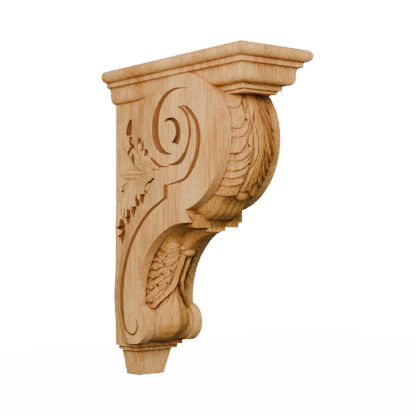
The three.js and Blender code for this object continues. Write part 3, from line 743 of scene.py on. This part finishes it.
# %% Gaps and neck lines
LOWER_GAPS = [
    ((30, 93), (25.5, 96), 2.6, 9), ((30, 108.5), (25.5, 111), 2.6, 9), ((30, 120.5), (25.5, 122.5), 2.4, 9),
    ((29.5, 130.5), (25, 132.5), 2.2, 9), ((28.5, 138.5), (24, 140.5), 2.2, 9), ((27, 145.5), (22, 147.5), 2, 9),
    ((21, 109), (19.4, 104), 2.2, 8), ((19.6, 123), (18, 118.6), 2, 8), ((20, 134.6), (18.8, 131), 1.8, 8),
    ((14, 112), (12.4, 107), 2, 8), ((13, 127), (11.6, 122.4), 1.8, 8),
]
cuts = [gouge(on_lower_at, *sizes, proud=5) for sizes in LOWER_GAPS]
cuts += [scored(on_bulb, line, 1.6) for line in [
    [(0.8, 122, 0.4), (0.5, 112, 1), (1.2, 102, 1), (3.4, 92, 0.9), (5, 86, 0.4)],
    [(3, 112, 0.4), (3.8, 105, 1), (6.6, 96, 1.1), (10.6, 88, 0.9), (13, 83, 0.4)]]]
carve(body, [mirrored(cut) for cut in cuts] + cuts, "DIFFERENCE")
print("lower leaf, tongue and bulb:", len(body.data.polygons), "faces")

# %% [markdown]
# ## Flush with the wall, and into metres
#
# The back was sawn flat, so everything behind the wall is cut off. Then the mesh is brought to metres with its origin
# on the wall at half the height. The short edges that Booleans leave are kept: merging their ends would fold thin
# faces onto each other and open the surface. The count of open edges doesn't show everything. A closed hollow is left
# inside the scroll, behind the leaf, and a few chips and crumbs lie loose.

# %% The finished block
carve(body, [form(block(80, -40, 0, -5, HEIGHT + 5, 0), "wall")], "DIFFERENCE")
bm = bmesh.new()
bm.from_mesh(body.data)
bmesh.ops.translate(bm, vec=(0, 0, -HEIGHT / 2), verts=bm.verts[:])
bmesh.ops.scale(bm, vec=(0.001, 0.001, 0.001), verts=bm.verts[:])
for face in bm.faces:
    face.smooth = True
print("open edges:", sum(len(e.link_faces) != 2 for e in bm.edges))
bm.to_mesh(body.data)
bm.free()
body.data.set_sharp_from_angle(angle=math.radians(38))
body.modifiers.new("flat faces stay flat", "WEIGHTED_NORMAL").keep_sharp = True
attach(body, "root")
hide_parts("corbel")
triangles = sum(len(p.vertices) - 2 for p in body.data.polygons)
print("finished block:", triangles, "triangles")

# %% [markdown]
# ## The wood
#
# The finish is sanded beech with nothing on it. Beech is pale and pinkish tan, with faint upright stripes where each
# year's growth is cut, and with countless short brown flecks, the cut ends of its rays. All of it is drawn from
# Object coordinates, so one log runs through the whole block and the pattern turns every edge as real wood does.
# There are three finishes: pale and smooth where it was machined and sanded, duller where a gouge shaped the leaves,
# and rough at the bottom of the cuts. The carved finish is also browner, and the cut one much darker, partly as painted
# shade of the recess and of the grooves and pockets. In corners, where surfaces stand close together, each finish is
# painted in a darker, warmer tone: painted shade, in place of the shade and the bounce light from wood to wood there.

# %% Adding nodes
def linear(code):
    """An sRGB hex colour as the linear values that a shader takes."""
    parts = [int(code[i:i + 2], 16) / 255 for i in (1, 3, 5)]
    return [p / 12.92 if p < 0.04045 else ((p + 0.055) / 1.055)**2.4 for p in parts] + [1]


def add(tree, kind, settings=None, links=None):
    """One node, with its settings as properties or socket values, and its links from other nodes' sockets."""
    node = tree.nodes.new(kind)
    for name, value in (settings or {}).items():
        if isinstance(name, str) and hasattr(node, name):
            setattr(node, name, value)
        else:
            node.inputs[name].default_value = value
    for name, source in (links or {}).items():
        tree.links.new(source, node.inputs[name])
    return node

# %% [markdown]
# Three patterns make the figure. Growth rings are cylinders round the tree's heart, far behind the wall, 3.4 mm
# apart and a little wavy. Flecks are stretched Voronoi cells 1.6 mm wide and 5 mm long, of which only the core is
# coloured, so a fleck is 2 to 3 mm long. A soft cloud, long in the grain, varies the tone from place to place.

# %% Beech
RING_SPACING = 3.4
FIBRE_SCALE, FLECK_SCALE = (620, 620, 34), (620, 620, 200)
PAINTED_SHADE_REACH = 0.014


def beech(material, pale, dark, fleck, painted_shade, roughness, fleck_share):
    material.use_nodes = True
    tree = material.node_tree
    tree.nodes.clear()
    place = add(tree, "ShaderNodeTexCoord").outputs["Object"]
    drift = add(tree, "ShaderNodeMapping", {"Scale": (9, 9, 1.6)}, {"Vector": place})
    waver = add(tree, "ShaderNodeTexNoise", {"Scale": 1, "Detail": 3, "Roughness": 0.5},
                {"Vector": drift.outputs[0]})
    heart = add(tree, "ShaderNodeMapping", {"Location": (0.16, -0.03, 0), "Rotation": (0.02, 0.03, 0),
                                            "Scale": (1, 0.35, 0.02)}, {"Vector": place})
    apart = add(tree, "ShaderNodeVectorMath", {"operation": "LENGTH"}, {0: heart.outputs[0]})
    wavy = add(tree, "ShaderNodeMath", {"operation": "MULTIPLY_ADD", 1: 0.02},
               {0: waver.outputs["Fac"], 2: apart.outputs["Value"]})
    ring = add(tree, "ShaderNodeMath", {"operation": "MULTIPLY", 1: 1000 / RING_SPACING}, {0: wavy.outputs[0]})
    year = add(tree, "ShaderNodeMath", {"operation": "FRACT"}, {0: ring.outputs[0]})
    late = add(tree, "ShaderNodeValToRGB", {}, {"Fac": year.outputs[0]})
    late.color_ramp.elements[0].position, late.color_ramp.elements[0].color = 0.0, (0.1, 0.1, 0.1, 1)
    late.color_ramp.elements[1].position, late.color_ramp.elements[1].color = 0.82, (0.75, 0.75, 0.75, 1)
    late.color_ramp.elements.new(1.0).color = (0.1, 0.1, 0.1, 1)
    fine = add(tree, "ShaderNodeMapping", {"Scale": FIBRE_SCALE}, {"Vector": place})
    fibre = add(tree, "ShaderNodeTexNoise", {"Scale": 1, "Detail": 2}, {"Vector": fine.outputs[0]})
    cloud_at = add(tree, "ShaderNodeMapping", {"Scale": (28, 28, 7)}, {"Vector": place})
    cloud = add(tree, "ShaderNodeTexNoise", {"Scale": 1, "Detail": 4}, {"Vector": cloud_at.outputs[0]})
    tone = add(tree, "ShaderNodeMath", {"operation": "MULTIPLY_ADD", 1: 0.16},
               {0: late.outputs["Color"], 2: cloud.outputs["Fac"]})
    grainy = add(tree, "ShaderNodeMath", {"operation": "MULTIPLY_ADD", 1: 1.1},
                 {0: fibre.outputs["Fac"], 2: tone.outputs[0]})
    share = add(tree, "ShaderNodeMapRange", {"From Min": 0.9, "From Max": 1.4}, {"Value": grainy.outputs[0]})
    wood = add(tree, "ShaderNodeMix", {"data_type": "RGBA"}, {"Factor": share.outputs[0]})
    wood.inputs[6].default_value, wood.inputs[7].default_value = linear(pale), linear(dark)
    fleck_at = add(tree, "ShaderNodeMapping", {"Scale": FLECK_SCALE}, {"Vector": place})
    cells = add(tree, "ShaderNodeTexVoronoi", {"Scale": 1, "Randomness": 1}, {"Vector": fleck_at.outputs[0]})
    core = add(tree, "ShaderNodeMapRange", {"From Min": 0.34, "From Max": 0.12, "To Max": fleck_share},
               {"Value": cells.outputs["Distance"]})
    flecked = add(tree, "ShaderNodeMix", {"data_type": "RGBA"}, {"Factor": core.outputs[0]})
    tree.links.new(wood.outputs[2], flecked.inputs[6])
    flecked.inputs[7].default_value = linear(fleck)
    # Painted shade: where other wood stands within 14 mm, the colour is mixed towards a darker, warmer one, in place of
    # the shade and bounce light in corners.
    near = add(tree, "ShaderNodeAmbientOcclusion", {"samples": 8, "Distance": PAINTED_SHADE_REACH})
    painted_shade_share = add(tree, "ShaderNodeMapRange", {"From Min": 0.93, "From Max": 0.28, "To Max": 0.76},
                    {"Value": near.outputs["AO"]})
    with_painted_shade = add(tree, "ShaderNodeMix", {"data_type": "RGBA"}, {"Factor": painted_shade_share.outputs[0]})
    tree.links.new(flecked.outputs[2], with_painted_shade.inputs[6])
    with_painted_shade.inputs[7].default_value = linear(painted_shade)
    rough = add(tree, "ShaderNodeMapRange", {"To Min": roughness - 0.06, "To Max": roughness + 0.1},
                {"Value": grainy.outputs[0]})
    bump = add(tree, "ShaderNodeBump", {"Strength": 0.25, "Distance": 0.0002}, {"Height": grainy.outputs[0]})
    shader = add(tree, "ShaderNodeBsdfPrincipled", {"IOR": 1.5},
                 {"Roughness": rough.outputs[0], "Normal": bump.outputs[0]})
    tree.links.new(with_painted_shade.outputs[2], shader.inputs["Base Color"])
    add(tree, "ShaderNodeOutputMaterial", {}, {"Surface": shader.outputs[0]})


# Machined and sanded: smooth and pale, with a faint sheen. Carved by hand: duller, because the tool leaves small
# facets, and browner as painted shade of the recess between the cheeks. Cut deep: rough end grain that throws little
# light back, painted much darker still as the shade in grooves and pockets. The fifth colour of each is its painted
# shade in corners.
beech(slots[WHOLE], "#E4AE62", "#B4702A", "#7A3F12", "#8C4A10", 0.5, 0.75)
beech(slots[CARVED_PAINTED_SHADE], "#C48838", "#8E5610", "#5A3008", "#6A3404", 0.62, 0.65)
beech(slots[CUT_PAINTED_SHADE], "#7C4410", "#5A2E06", "#3A1C02", "#6A3806", 0.85, 0.4)

# %% [markdown]
# ## Floor, light and camera
#
# The bracket is shown by itself, over a plain floor. A large soft light from the left lights the side more than the
# front, a weaker one stands almost in front, and the surround fills the shadows. Floor and surround look nearly white
# to the camera alone. To the wood the floor is a dull grey, because a bright one would light the undersides, which are
# dark in the photo. The camera stands at the left, a little lower than the middle of the bracket, and looks up by two
# degrees.

# %% Floor
FLOOR_GLOW, SURROUND_GLOW = 15.0, 16.0
floor_bm = bmesh.new()
bmesh.ops.create_grid(floor_bm, x_segments=1, y_segments=1, size=8)
bmesh.ops.translate(floor_bm, vec=(0, 0, -0.95), verts=floor_bm.verts[:])
floor_mesh = bpy.data.meshes.new("floor")
floor_bm.to_mesh(floor_mesh)
floor_bm.free()
floor = bpy.data.objects.new("floor", floor_mesh)
bpy.context.scene.collection.objects.link(floor)
paper = bpy.data.materials.new("matt_paper_white")
paper.use_nodes = True
matt = paper.node_tree.nodes["Principled BSDF"]
matt.inputs["Base Color"].default_value = linear("#8C8A86")
matt.inputs["Roughness"].default_value = 0.9
matt.inputs["Emission Color"].default_value = (1, 1, 1, 1)
glow = add(paper.node_tree, "ShaderNodeMath", {"operation": "MULTIPLY", 1: FLOOR_GLOW},
           {0: add(paper.node_tree, "ShaderNodeLightPath").outputs["Is Camera Ray"]})
paper.node_tree.links.new(glow.outputs[0], matt.inputs["Emission Strength"])
floor_mesh.materials.append(paper)

# %% Light
world = bpy.data.worlds.new("bright_surround")
bpy.context.scene.world = world
world.use_nodes = True
sky = world.node_tree
background = sky.nodes["Background"]
background.inputs["Color"].default_value = (1, 1, 1, 1)
direction = add(sky, "ShaderNodeTexCoord")
height = add(sky, "ShaderNodeSeparateXYZ", {}, {"Vector": direction.outputs["Generated"]})
shade = add(sky, "ShaderNodeMapRange", {"From Min": -0.15, "From Max": 0.85, "To Min": 0.08, "To Max": 0.33},
            {"Value": height.outputs["Z"]})
seen = add(sky, "ShaderNodeLightPath").outputs["Is Camera Ray"]
strength = add(sky, "ShaderNodeMix", {3: SURROUND_GLOW}, {0: seen, 2: shade.outputs[0]})
sky.links.new(strength.outputs[0], background.inputs["Strength"])


def soft_light(name, place, aim, size, power):
    """A square area light at a place, turned to its aim."""
    light = bpy.data.lights.new(name, "AREA")
    light.shape, light.size, light.energy = "SQUARE", size, power
    lamp = bpy.data.objects.new(name, light)
    lamp.location = place
    lamp.rotation_euler = (Vector(aim) - Vector(place)).to_track_quat("-Z", "Y").to_euler()
    bpy.context.scene.collection.objects.link(lamp)


soft_light("softbox_left", (-1.06, -0.86, 0.42), (0, -0.1, 0), 0.6, 31)
soft_light("softbox_front", (-0.35, -0.95, 0.3), (0, -0.1, 0.02), 0.45, 5.5)

# %% Camera
eye = Vector((-0.765, -1.058, -0.033))
yaw, pitch, roll = math.radians(39.55), math.radians(2.21), math.radians(-0.63)
ahead = Vector((math.sin(yaw) * math.cos(pitch), math.cos(yaw) * math.cos(pitch), math.sin(pitch)))
level = Vector((math.cos(yaw), -math.sin(yaw), 0))
over = level.cross(ahead)
right = math.cos(roll) * level + math.sin(roll) * over
upward = math.cos(roll) * over - math.sin(roll) * level
lens = bpy.data.cameras.new("camera")
lens.lens, lens.sensor_width, lens.dof.use_dof = 94.24, 36, False
camera = bpy.data.objects.new("camera", lens)
camera.matrix_world = Matrix.Translation(eye) @ Matrix((right, upward, -ahead)).transposed().to_4x4()
bpy.context.scene.collection.objects.link(camera)
bpy.context.scene.camera = camera
print("camera at", [round(v, 3) for v in eye])
